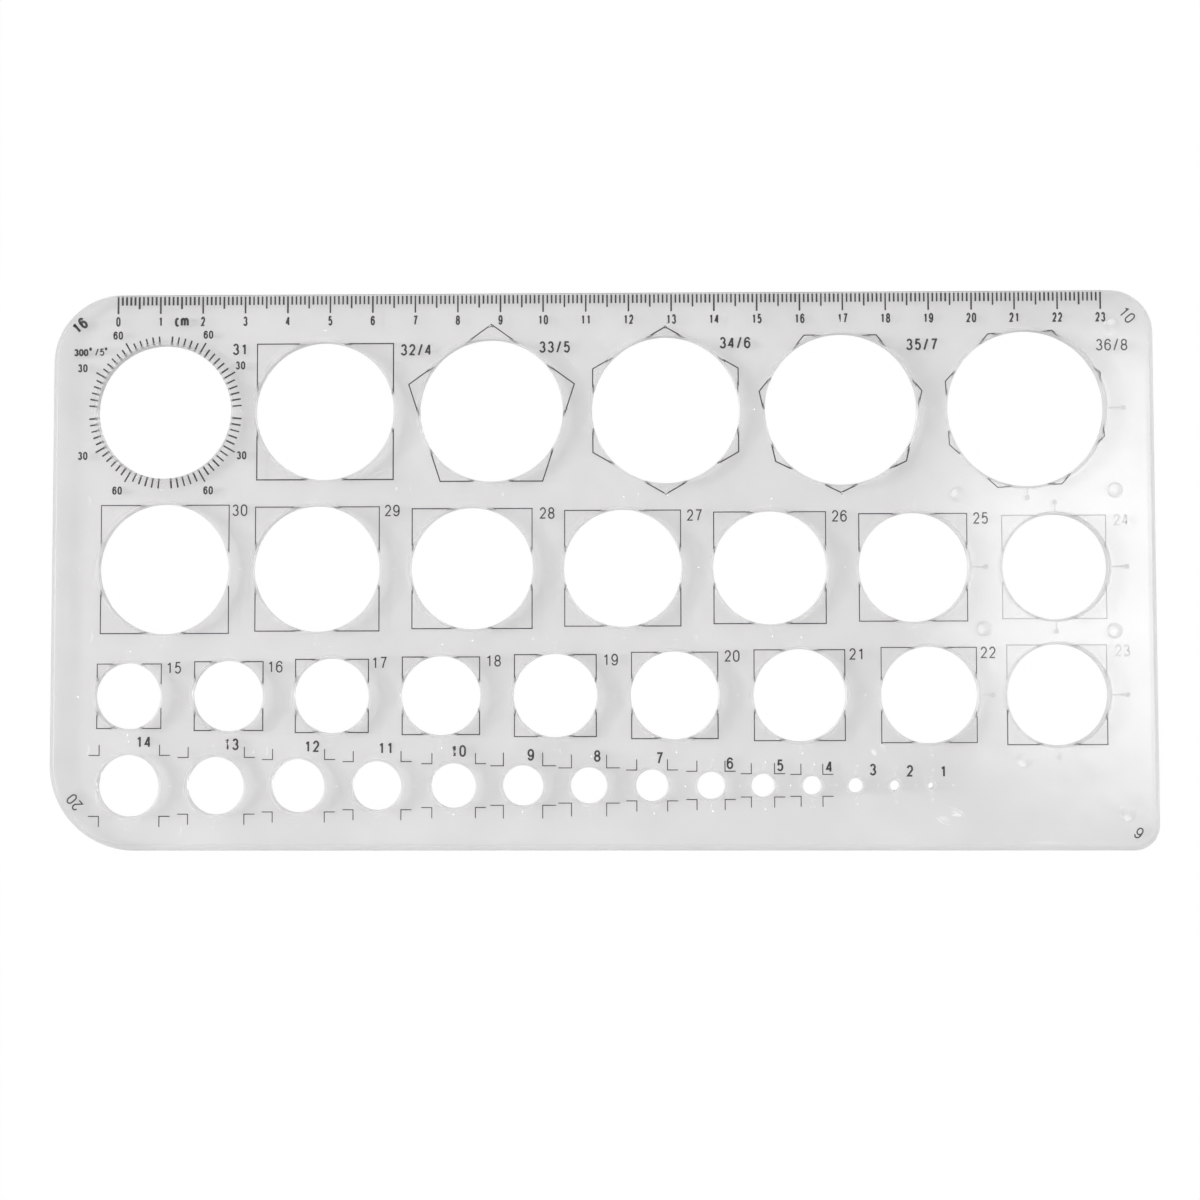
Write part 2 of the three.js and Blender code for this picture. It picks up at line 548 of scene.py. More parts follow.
@dataclass
class Plate:
    """Moulded plate with its bevelled holes and edges and the marks that the mould left."""

    layout: Layout
    thickness: float = 2.0
    corner_steps: int = 20
    levels: tuple[EdgeLevel, ...] = (
        EdgeLevel(0.0, 0.08, 0.08),
        EdgeLevel(0.02, 0.02, 0.02),
        EdgeLevel(0.08, 0.0, 0.0),
        EdgeLevel(0.16, 0.0, 0.0),
        EdgeLevel(0.68, 0.0, 0.0),
        EdgeLevel(0.76, 0.01, 0.0),
        EdgeLevel(0.84, 0.06, 0.02),
        EdgeLevel(0.92, 0.14, 0.05),
        EdgeLevel(1.82, 1.04, 0.33),
        EdgeLevel(1.92, 1.15, 0.38),
        EdgeLevel(1.98, 1.25, 0.44),
        EdgeLevel(2.0, 1.36, 0.54),
    )
    bevel_least: float = 0.6
    lead_allowance: float = 0.3
    wall_steps: tuple[tuple[int, int], ...] = ((15, 96), (6, 64), (1, 40))
    wall_draft: float = 0.08
    rim_bevel: float = 0.57
    rim_depth: float = 0.12
    softening: float = 0.04
    axis_outer: float = 4.4
    axis_upright: float = 2.1
    axis_width: float = 0.34
    axis_slope_share: float = 1 / 7
    axis_depths: tuple[float, ...] = (0.014, 0.07, 0.028)
    dot: RoundMark = RoundMark(0.6, ((0.06, 0.03), (0.2, 0.15), (0.2, 0.1)), 20)
    mark_gap: float = 0.05
    pin: RoundMark = RoundMark(1.85, ((0.1, 0.02), (0.18, 0.06), (0.12, 0.02)), 40)
    gate: RoundMark = RoundMark(2.2, ((0.15, 0.1), (0.25, 0.04), (0.7, 0.0), (0.2, -0.06)), 48, 1.5)
    gate_place: Pair = (80.2, -57.2)
    foot_line: tuple[Pair, ...] = ((94.8, -63.2), (105.6, -63.2))
    dots: list[Vector] = field(default_factory=list)
    taken: list[tuple[Vector, float]] = field(default_factory=list)
    mesh: BMesh = field(default_factory=bmesh.new)

    def build(self, gloss: Material, matt: Material, wall: Material) -> Object:
        """Models the whole plate as one closed mesh.

        Args:
            gloss, matt, wall: Finishes of the polished faces, the bevels and the hole walls.

        Returns:
            The plate's object.
        """
        self._edge()
        for hole, centre in self.layout.holes():
            self._hole(hole, centre)
        for face in self.mesh.faces:
            face.smooth = True
        self._mould_marks()
        self._axis_marks()
        self._close(0.0)
        self._close(self.thickness)
        piece = make_piece(self.mesh, "plate", gloss)
        piece.data.materials.append(matt)
        piece.data.materials.append(wall)
        return piece

    def _corner_centre(self, corner: Corner) -> Vector:
        """Middle of a corner's rounding."""
        radius = CORNER_RADII[corner]
        return Vector(corner.value) * (self.layout.half_size - flat(radius, radius))

    def _edge(self) -> None:
        """Spins the four corners, joins them and raises the outline through the edge's levels."""
        first = self.levels[0]
        ends = []
        for turn, corner in enumerate(Corner):
            centre = self._corner_centre(corner)
            begin = polar(centre, CORNER_RADII[corner], 90.0 * (turn - 1))
            start = self.mesh.verts.new((*begin, first.height))
            arc_made = bmesh.ops.spin(
                self.mesh,
                geom=[start],
                cent=(*centre, first.height),
                axis=UP,
                angle=math.pi / 2,
                steps=self.corner_steps,
            )
            ends.append((start, of_kind(arc_made["geom_last"], BMVert)[0]))
        for index, (start, _) in enumerate(ends):
            self.mesh.edges.new((ends[index - 1][1], start))
        loop = self.mesh.edges[:]
        self._draw_in(self.mesh.verts[:], EdgeLevel(0.0, 0.0, 0.0), first)
        for below, above in zip(self.levels, self.levels[1:]):
            raised = bmesh.ops.extrude_edge_only(self.mesh, edges=loop)["geom"]
            self._draw_in(of_kind(raised, BMVert), below, above)
            loop = of_kind(raised, BMEdge)
            if above.height - below.height > self.bevel_least:
                for face in of_kind(raised, BMFace):
                    face.material_index = Finish.MATT

    def _draw_in(self, verts: Iterable[BMVert], below: EdgeLevel, above: EdgeLevel) -> None:
        """Moves the points of the outline from one level of the edge to another.

        Args:
            verts: Points of the outline.
            below, above: Levels that they stand at and go to.
        """
        for vert in verts:
            on_ruler = vert.co.y > 0
            corner = Corner((1 if vert.co.x > 0 else -1, 1 if on_ruler else -1))
            radius = CORNER_RADII[corner]
            centre = self._corner_centre(corner)
            old_y = below.ruler if on_ruler else below.plain
            new_y = above.ruler if on_ruler else above.plain
            share_x = (vert.co.x - centre.x) / (radius - below.plain)
            share_y = (vert.co.y - centre.y) / (radius - old_y)
            vert.co.x = centre.x + share_x * (radius - above.plain)
            vert.co.y = centre.y + share_y * (radius - new_y)
            vert.co.z = above.height

    def _low_radius(self, hole: Hole) -> float:
        """Radius of a hole at the underside."""
        return (hole.circle + self.lead_allowance) / 2

    def _rim_radius(self, hole: Hole) -> float:
        """Radius of a hole's rim on the top face, with its rounding."""
        return self._low_radius(hole) + self.wall_draft + self.rim_bevel

    def _hole(self, hole: Hole, centre: Vector) -> None:
        """Spins the wall of one hole from a profile with softened rims.

        Args:
            hole: The hole.
            centre: Its middle.
        """
        low = self._low_radius(hole)
        knee = low + self.wall_draft
        rim = knee + self.rim_bevel
        top = self.thickness
        bend = top - self.rim_depth
        soft = self.softening
        profile = (
            (low + soft, 0.0),
            (low + 0.25 * soft, 0.25 * soft),
            (low, soft),
            (low + 0.05 * soft, 2.5 * soft),
            (knee - 0.1 * soft, bend - 3.0 * soft),
            (knee + 0.2 * soft, bend - soft),
            (knee + 0.8 * soft, bend),
            (knee + 2.0 * soft, bend + 0.4 * soft),
            (rim - 2.0 * soft, top - 0.4 * soft),
            (rim - 0.8 * soft, top - 0.1 * soft),
            (rim, top),
        )
        wall = bmesh.new()
        verts = [wall.verts.new((centre.x + radius, centre.y, height)) for radius, height in profile]
        edges = [wall.edges.new(pair) for pair in zip(verts, verts[1:])]
        bmesh.ops.spin(
            wall,
            geom=verts + edges,
            cent=(*centre, 0.0),
            axis=UP,
            angle=2 * math.pi,
            steps=next(steps for least, steps in self.wall_steps if hole.circle >= least),
            use_merge=True,
        )
        for face in wall.faces:
            steep = face.calc_center_median().z < bend
            face.material_index = Finish.WALL if steep else Finish.MATT
        join(self.mesh, wall)

    def _sink(self, face: BMFace, slopes: Slopes) -> None:
        """Presses a face of the top in, with rounded sides.

        Args:
            face: Face that lies on the top.
            slopes: Width and depth of each slope, from the outside in.
        """
        face.smooth = True
        for width, depth in slopes:
            inset = bmesh.ops.inset_individual(
                self.mesh, faces=[face], thickness=width, use_even_offset=True
            )
            for side in inset["faces"]:
                side.smooth = True
            bmesh.ops.translate(self.mesh, vec=(0.0, 0.0, -depth), verts=face.verts[:])

    def _groove(self, start: Vector, end: Vector) -> None:
        """Sinks one fine line into the top face.

        Args:
            start, end: Ends of the line.
        """
        middle = (start + end) / 2
        along = end - start
        place = Matrix.Translation((*middle, self.thickness))
        turned = place @ Matrix.Rotation(math.atan2(along.y, along.x), 4, "Z")
        size = Matrix.Diagonal((along.length / 2, self.axis_width / 2, 1.0, 1.0))
        made = bmesh.ops.create_grid(
            self.mesh, x_segments=1, y_segments=1, size=1.0, matrix=turned @ size
        )
        slope = self.axis_width * self.axis_slope_share
        slopes = [(slope, depth) for depth in self.axis_depths]
        self._sink(made["verts"][0].link_faces[0], slopes)

    def _dimple(self, mark: RoundMark, centre: Vector) -> None:
        """Sinks one round mark into the top face.

        Args:
            mark: Form of the mark.
            centre: Its middle.
        """
        place = Matrix.Translation((*centre, self.thickness))
        made = bmesh.ops.create_circle(
            self.mesh,
            cap_ends=True,
            segments=mark.sides,
            radius=mark.radius,
            matrix=place @ Matrix.Diagonal((mark.stretch, 1.0, 1.0, 1.0)),
        )
        self._sink(made["verts"][0].link_faces[0], mark.slopes)

    def _axis_marks(self) -> None:
        """Sinks the centre lines at the four quarters of each hole, each ending in a dot."""
        for row in self.layout.rows:
            end = 2 * self.axis_outer
            webs = [end, *(hole.web for hole in row.holes[:-1]), end]
            for index, hole in enumerate(row.holes):
                lip = self._rim_radius(hole) - hole.radius
                right = webs[index + 1] / 2 - lip
                left = webs[index] / 2 - lip
                reaches = (right, self.axis_upright, left, self.axis_upright)
                for turn, reach in enumerate(reaches):
                    self._axis_mark(hole, 90.0 * turn, reach)

    def _axis_mark(self, hole: Hole, degrees: float, reach: float) -> None:
        """Sinks one centre line and its dot, unless a neighbour has made the dot already.

        Args:
            hole: Hole that the line points to.
            degrees: Direction of the line.
            reach: Distance from the rim to the dot's middle.
        """
        centre = self.layout.centres[hole.circle]
        rim = self._rim_radius(hole)
        place = polar(centre, rim + reach, degrees)
        shared = [dot for dot in self.dots if (dot - place).length < self.dot.radius]
        if shared:
            place = shared[0]
        start = rim + self.mark_gap
        end = (place - centre).length - self.dot.radius - self.mark_gap
        count = max(2, math.ceil((end - start) / self.axis_width))
        stretch = (end - start) / count
        line = [polar(centre, start + stretch * step, degrees) for step in range(count + 1)]
        spots = [(point, self.axis_width / 2) for point in line[1:]]
        if not shared:
            spots.append((place, self.dot.radius))
        if end - start < self.dot.radius or not self._is_free(spots, hole):
            return
        self._groove(line[0], line[-1])
        self.taken.extend(spots)
        if not shared:
            self.dots.append(place)
            self._dimple(self.dot, place)

    def _is_free(self, spots: Sequence[tuple[Vector, float]], own: Hole) -> bool:
        """Tells whether round spots on the top face stay clear of other holes and marks.

        Args:
            spots: Middles and radii.
            own: Hole that the spots belong to.

        Returns:
            True if nothing is in the way.
        """
        others = [(hole, centre) for hole, centre in self.layout.holes() if hole is not own]
        rims = [(centre, self._rim_radius(hole)) for hole, centre in others]
        return all(
            (point - other).length >= size + (radius + self.mark_gap)
            for point, radius in spots
            for other, size in [*rims, *self.taken]
        )

    def _mould_marks(self) -> None:
        """Sinks the marks of the ejector pins, the oval of the gate and the line at the foot."""
        places = [(self.pin, place) for place in PIN_MARKS]
        for mark, place in [*places, (self.gate, self.gate_place)]:
            self._dimple(mark, flat(*place))
            self.taken.append((flat(*place), mark.radius * mark.stretch))
        self._groove(*(flat(*point) for point in self.foot_line))

    def _close(self, height: float) -> None:
        """Fills the flat face between all the open loops at a height.

        Args:
            height: Height of the face.
        """
        rims = [
            edge
            for edge in self.mesh.edges
            if edge.is_boundary and all(abs(vert.co.z - height) < LEVEL_SPAN for vert in edge.verts)
        ]
        bmesh.ops.triangle_fill(self.mesh, edges=rims, normal=UP, use_beauty=True)


# Print


def uneven(pen: float, spread: float) -> float:
    """Width of a pen line with a random spread."""
    return pen * random.uniform(1.0 - spread, 1.0 + spread)


def pen_sides(points: Sequence[Vector], width: float, closed: bool) -> list[list[Vector]]:
    """Both sides of a pen line with mitred bends.

    Args:
        points: Middle of the line.
        width: Width of the pen.
        closed: Whether the last point joins the first.

    Returns:
        The points of the left side and of the right side.
    """
    left = []
    right = []
    count = len(points)
    for index, point in enumerate(points):
        before = points[index - 1] if index or closed else None
        after = points[(index + 1) % count] if index + 1 < count or closed else None
        incoming = (point - before if before is not None else after - point).normalized()
        outgoing = (after - point).normalized() if after is not None else incoming
        both = incoming + outgoing
        bend = both.normalized() if both.length > BEND_LEAST else outgoing
        normal = flat(-bend.y, bend.x)
        reach = width / 2 / max(bend.dot(outgoing), MITRE_LEAST)
        left.append(point + normal * reach)
        right.append(point - normal * reach)
    return [left, right]


@dataclass
class InkLayer:
    """One printed piece: pen lines of ink that lie just inside the underside of the plate."""

    name: str
    low: float = 0.02
    high: float = 0.08
    mesh: BMesh = field(default_factory=bmesh.new)

    def line(self, points: Sequence[Vector], width: float, closed: bool = False) -> None:
        """Draws one pen line as a low, flat solid.

        Args:
            points: Middle of the line, in millimetres.
            width: Width of the pen.
            closed: Whether the line is a ring.
        """
        left, right = pen_sides(points, width, closed)
        verts = [self.mesh.verts.new((*point, self.low)) for point in left]
        pairs = list(zip(verts, verts[1:]))
        if closed:
            pairs.append((verts[-1], verts[0]))
        edges = [self.mesh.edges.new(pair) for pair in pairs]
        swept = bmesh.ops.extrude_edge_only(self.mesh, edges=edges)["geom"]
        others = {tuple(vert.co): point for vert, point in zip(verts, right)}
        for vert in of_kind(swept, BMVert):
            vert.co.xy = others[tuple(vert.co)]
        raised = bmesh.ops.extrude_face_region(self.mesh, geom=of_kind(swept, BMFace))["geom"]
        rise = (0.0, 0.0, self.high - self.low)
        bmesh.ops.translate(self.mesh, vec=rise, verts=of_kind(raised, BMVert))

    def finish(self, material: Material) -> Object:
        """Object of the whole printed piece."""
        return make_piece(self.mesh, self.name, material)


@dataclass(frozen=True)
class PenStroke:
    """One stroke of a figure, in shares of the figure's width and height."""

    points: tuple[Vector, ...]
    closed: bool = False


def stroke(*points: Vector | Pair, closed: bool = False) -> PenStroke:
    """Pen stroke through points given as pairs or vectors."""
    return PenStroke(tuple(Vector(point) for point in points), closed)


def ring(x: float, y: float, rx: float, ry: float) -> PenStroke:
    """Closed oval stroke."""
    return stroke(*arc(x, y, rx, ry, 0.0, 345.0, 23), closed=True)


def half_turned(part: PenStroke) -> PenStroke:
    """Stroke turned upside down."""
    return stroke(*(flat(1.0 - point.x, 1.0 - point.y) for point in part.points), closed=part.closed)


@dataclass(frozen=True)
class Figure:
    """One printed character: its strokes, and its width as a share of a plain figure's."""

    strokes: tuple[PenStroke, ...]
    width: float = 1.0


def figure(*strokes: PenStroke, width: float = 1.0) -> Figure:
    """Printed character from its strokes."""
    return Figure(strokes, width)


SIX = (
    ring(0.5, 0.32, 0.5, 0.32),
    stroke(*arc(0.53, 0.62, 0.53, 0.38, 28.0, 180.0, 12), (0.0, 0.34)),
)
FIGURES: dict[str, Figure] = {
    "0": figure(
        stroke(
            *arc(0.5, 0.68, 0.5, 0.32, 0.0, 180.0, 14),
            *arc(0.5, 0.32, 0.5, 0.32, 180.0, 360.0, 14),
            closed=True,
        )
    ),
    "1": figure(stroke((0.62, 0.0), (0.62, 1.0)), stroke((0.56, 0.93), (0.42, 0.83), (0.16, 0.79))),
    "2": figure(stroke(*arc(0.5, 0.71, 0.46, 0.29, 172.0, -32.0, 14), (0.06, 0.02), (1.0, 0.02))),
    "3": figure(
        stroke(*arc(0.48, 0.75, 0.42, 0.25, 165.0, -88.0, 14)),
        stroke(*arc(0.48, 0.26, 0.5, 0.26, 86.0, -165.0, 14)),
    ),
    "4": figure(stroke((0.74, 0.0), (0.74, 1.0)), stroke((0.68, 0.97), (0.02, 0.27), (1.0, 0.27))),
    "5": figure(
        stroke((0.92, 1.0), (0.2, 1.0), (0.1, 0.5)),
        stroke(*arc(0.48, 0.33, 0.5, 0.33, 150.0, -152.0, 16)),
    ),
    "6": figure(*SIX),
    "7": figure(stroke((0.02, 1.0), (0.98, 1.0), (0.6, 0.5), (0.36, 0.0))),
    "8": figure(ring(0.5, 0.755, 0.43, 0.245), ring(0.5, 0.265, 0.5, 0.265)),
    "9": figure(*(half_turned(part) for part in SIX)),
    "/": figure(stroke((0.1, -0.04), (0.9, 1.06)), width=0.9),
    "°": figure(ring(0.5, 0.86, 0.42, 0.15), width=0.62),
    "c": figure(stroke(*arc(0.5, 0.36, 0.5, 0.36, 48.0, 312.0, 14))),
    "m": figure(
        stroke((0.0, 0.0), (0.0, 0.72)),
        stroke(*arc(0.25, 0.5, 0.25, 0.22, 170.0, 0.0, 8), (0.5, 0.0)),
        stroke(*arc(0.75, 0.5, 0.25, 0.22, 170.0, 0.0, 8), (1.0, 0.0)),
        width=1.7,
    ),
}


@dataclass(frozen=True)
class Lettering:
    """One size of printed figures, in millimetres."""

    height: float
    width: float
    gap: float
    pen: float

    def write(self, layer: InkLayer, text: str, place: Vector, degrees: float = 0.0) -> None:
        """Prints a short text around a place.

        Args:
            layer: Printed piece that takes the strokes.
            text: What is printed.
            place: Middle of the text.
            degrees: Turn of the text, anticlockwise.
        """
        widths = [FIGURES[letter].width * self.width for letter in text]
        total = sum(widths) + self.gap * (len(text) - 1)
        turn = Matrix.Rotation(math.radians(degrees), 2)
        left = -total / 2
        for letter, width in zip(text, widths):
            inner = flat(width - self.pen, self.height - self.pen)
            corner = flat(left + self.pen / 2, (self.pen - self.height) / 2)
            for part in FIGURES[letter].strokes:
                points = [place + turn @ (corner + point * inner) for point in part.points]
                layer.line(points, self.pen, part.closed)
            left += width + self.gap


SIZE_LETTERING = Lettering(2.75, 1.55, 0.42, 0.32)
HEAVY_LETTERING = Lettering(2.75, 1.55, 0.4, 0.44)
RULER_LETTERING = Lettering(2.3, 1.04, 0.26, 0.4)
UNIT_LETTERING = Lettering(2.75, 1.15, 0.22, 0.56)
RING_LETTERING = Lettering(1.95, 1.05, 0.18, 0.38)
BOLD_LETTERING = Lettering(2.9, 1.6, 0.3, 0.6)
LEGEND_BOLD = Lettering(1.75, 1.12, 0.02, 0.44)
LEGEND_LIGHT = Lettering(1.75, 1.12, 0.16, 0.31)


@dataclass
class Ruler:
    """Millimetre ruler along the upper edge."""

    layout: Layout
    start: float = 0.4
    millimetre: float = 2.0
    five: float = 2.9
    ten: float = 4.0
    pen: float = 0.4
    heavy_pen: float = 0.46
    heavy_length: float = 35.0
    pen_spread: float = 0.1
    figure_drop: float = 6.25
    unit_rise: float = 0.15

    def build(self, material: Material) -> list[Object]:
        """Prints the marks and the figures of the ruler.

        Args:
            material: Finish of the print.

        Returns:
            The marks and the figures.
        """
        marks = InkLayer("ruler_marks")
        figures = InkLayer("ruler_figures")
        top = self.layout.ruler_edge - self.start
        for millimetre in range(self.layout.ruler_length + 1):
            x = self.layout.ruler_x(millimetre)
            length = self.millimetre
            if millimetre % 10 == 0:
                length = self.ten
            elif millimetre % 5 == 0:
                length = self.five
            lightness = min(1.0, millimetre / self.heavy_length)
            pen = self.heavy_pen + (self.pen - self.heavy_pen) * lightness
            marks.line([flat(x, top), flat(x, top - length)], uneven(pen, self.pen_spread))
        row = self.layout.ruler_edge - self.figure_drop
        for centimetre in range(self.layout.ruler_length // 10 + 1):
            place = flat(self.layout.ruler_x(10 * centimetre), row)
            RULER_LETTERING.write(figures, str(centimetre), place)
        UNIT_LETTERING.write(figures, "cm", flat(self.layout.ruler_x(15), row + self.unit_rise))
        return [marks.finish(material), figures.finish(material)]


SQUARE_CORNERS = 4
BRACKET_GAPS = {4: 0.52, 5: 0.18, 6: 0.25}
# Frame corners of holes 23 and 24 that a painted glare turns grey.
GLARE_PALED_CORNERS = {23: (0, 1), 24: (0, 1, 2, 3)}
PEN_SHARES = {22: 0.9, 36: 0.85}


class FrameStart(Enum):
    """Direction of the first corner of each frame in degrees, from the square up."""

    SQUARE = 45.0
    PENTAGON = 90.0
    HEXAGON = 90.1
    HEPTAGON = -90.0
    OCTAGON = 25.5


@dataclass
class Frames:
    """Square and polygon frames around the circles, inked near their corners."""

    layout: Layout
    pen: float = 0.28
    square_pen: float = 0.24
    rim_gap: float = 0.5
    bracket_pen: float = 0.22
    bracket_gap: float = 0.06
    pen_spread: float = 0.08
    bracket_arm: float = 2.45
    long_bracket_arm: float = 3.05
    long_brackets: tuple[int, ...] = (8, 9)

    def build(self, material: Material, thin: Material) -> list[Object]:
        """Prints all the frames.

        Args:
            material: Finish of the print.
            thin: Grey ink with a painted glare, for the frame corners under the highlight.

        Returns:
            The polygon frames, the squares, the brackets of the small holes and the square corners
            greyed by a painted glare.
        """
        polygons = InkLayer("polygon_frames")
        squares = InkLayer("square_frames")
        glare_squares = InkLayer("glare_paled_square_frames")
        brackets = InkLayer("small_hole_brackets")
        for hole in ROW_OF_POLYGONS.holes:
            if hole.polygon:
                self._frame((polygons, polygons), hole, self.pen)
        for hole in (*ROW_OF_LARGE.holes, *ROW_OF_MIDDLE.holes):
            self._frame((squares, glare_squares), hole, self.square_pen)
        for hole in ROW_OF_SMALL.holes:
            if hole.circle >= min(BRACKET_GAPS):
                self._brackets(brackets, hole)
        full = [layer.finish(material) for layer in (polygons, squares, brackets)]
        return [*full, glare_squares.finish(thin)]

    def _frame(self, layers: Sequence[InkLayer], hole: Hole, pen: float) -> None:
        """Prints the bent corners of one frame.

        Args:
            layers: Printed pieces that take the full black corners and the corners greyed by a
                painted glare.
            hole: Hole that the frame goes round.
            pen: Width of the line.
        """
        full, thin = layers
        centre = self.layout.centres[hole.circle]
        corners = hole.polygon or SQUARE_CORNERS
        first = list(FrameStart)[corners - SQUARE_CORNERS].value
        half_step = 180.0 / corners
        tip = hole.radius / math.cos(math.radians(half_step))
        half_gap = math.sqrt((hole.radius + self.rim_gap) ** 2 - hole.radius**2)
        swing = math.degrees(math.atan2(half_gap, hole.radius))
        for corner in range(corners):
            direction = first + 2 * half_step * corner
            ends = [
                polar(centre, hole.radius + self.rim_gap, direction + side * (half_step - swing))
                for side in (-1, 1)
            ]
            points = [ends[0], polar(centre, tip, direction), ends[1]]
            share = PEN_SHARES.get(hole.circle, 1.0)
            # Corners under the highlight take the grey ink of a painted glare.
            layer = thin if corner in GLARE_PALED_CORNERS.get(hole.circle, ()) else full
            layer.line(points, uneven(share * pen, self.pen_spread))

    def _brackets(self, layer: InkLayer, hole: Hole) -> None:
        """Prints the four brackets that open away from one small hole.

        Args:
            layer: Printed piece that takes the brackets.
            hole: The hole.
        """
        centre = self.layout.centres[hole.circle]
        arm = self.long_bracket_arm if hole.circle in self.long_brackets else self.bracket_arm
        reach = hole.radius + BRACKET_GAPS.get(hole.circle, self.bracket_gap)
        for side_x, side_y in (corner.value for corner in Corner):
            knee = centre + reach * flat(side_x, side_y)
            points = [knee + flat(side_x * arm, 0.0), knee, knee + flat(0.0, side_y * arm)]
            layer.line(points, uneven(self.bracket_pen, self.pen_spread))


RING_FIGURES = (
    ("60", -11.3, 18.2),
    ("60", 10.0, 18.3),
    ("30", -19.6, 10.5),
    ("30", 17.6, 11.0),
    ("30", -19.4, -10.2),
    ("30", 18.0, -10.2),
    ("60", -11.2, -18.4),
    ("60", 10.2, -18.4),
)
RING_LEGEND = (
    (LEGEND_BOLD, "300", 0.0, 0.0),
    (LEGEND_BOLD, "°", 2.2, 0.35),
    (LEGEND_LIGHT, "/5", 4.35, 0.1),
    (LEGEND_LIGHT, "°", 5.85, 0.35),
)


@dataclass
class AngleRing:
    """Ring of five degree marks around the largest plain hole."""

    layout: Layout
    circle: int = 31
    inner: float = 15.85
    outer: float = 18.0
    long_outer: float = 18.9
    step: int = 5
    pen: float = 0.37
    pen_spread: float = 0.1
    legend_place: Pair = (-20.0, 14.2)

    def build(self, material: Material) -> list[Object]:
        """Prints the ring and its figures.

        Args:
            material: Finish of the print.

        Returns:
            The marks and the figures.
        """
        marks = InkLayer("angle_marks")
        figures = InkLayer("angle_figures")
        centre = self.layout.centres[self.circle]
        for degrees in range(self.step, 360, self.step):
            if degrees % 90:
                outer = self.outer if degrees % 30 else self.long_outer
                ends = [polar(centre, radius, degrees) for radius in (self.inner, outer)]
                marks.line(ends, uneven(self.pen, self.pen_spread))
        for text, right, up in RING_FIGURES:
            RING_LETTERING.write(figures, text, centre + flat(right, up))
        legend = centre + flat(*self.legend_place)
        for lettering, text, right, up in RING_LEGEND:
            lettering.write(figures, text, legend + flat(right, up))
        return [marks.finish(material), figures.finish(material)]


CORNER_FIGURES = (
    (BOLD_LETTERING, "16", -122.6, 57.9, 40.0),
    (SIZE_LETTERING, "10", 122.7, 59.2, -50.0),
    (SIZE_LETTERING, "20", -122.6, -53.8, 130.0),
    (SIZE_LETTERING, "6", 123.6, -61.0, 145.0),
)


@dataclass
class SizeFigures:
    """Figures of the holes and of the corner roundings."""

    layout: Layout
    # Holes whose figures are greyed by a painted glare.
    thin: tuple[int, ...] = (23, 24)
    heavy: tuple[int, ...] = (*range(1, 15), *range(31, 36))

    def build(self, material: Material, thin: Material) -> list[Object]:
        """Prints the figures.

        Args:
            material: Finish of the print.
            thin: Grey ink with a painted glare, for the figures under the highlight.

        Returns:
            The figures of the holes, those among them greyed by a painted glare and those of the
            corners.
        """
        sizes = InkLayer("size_figures")
        glare_sizes = InkLayer("glare_paled_size_figures")
        corners = InkLayer("corner_figures")
        for hole, centre in self.layout.holes():
            lettering = HEAVY_LETTERING if hole.circle in self.heavy else SIZE_LETTERING
            # Figures of those holes take the grey ink of a painted glare.
            layer = glare_sizes if hole.circle in self.thin else sizes
            lettering.write(layer, hole.text, centre + flat(hole.figure_right, hole.figure_up))
        for lettering, text, x, y, degrees in CORNER_FIGURES:
            lettering.write(corners, text, flat(x, y), degrees)
        return [sizes.finish(material), glare_sizes.finish(thin), corners.finish(material)]


# Stage


@dataclass(frozen=True)
class Window:
    """Soft bright patch of the studio, with its outer and inner spread in degrees."""

    direction: Triple
    outer: float
    inner: float
    strength: float


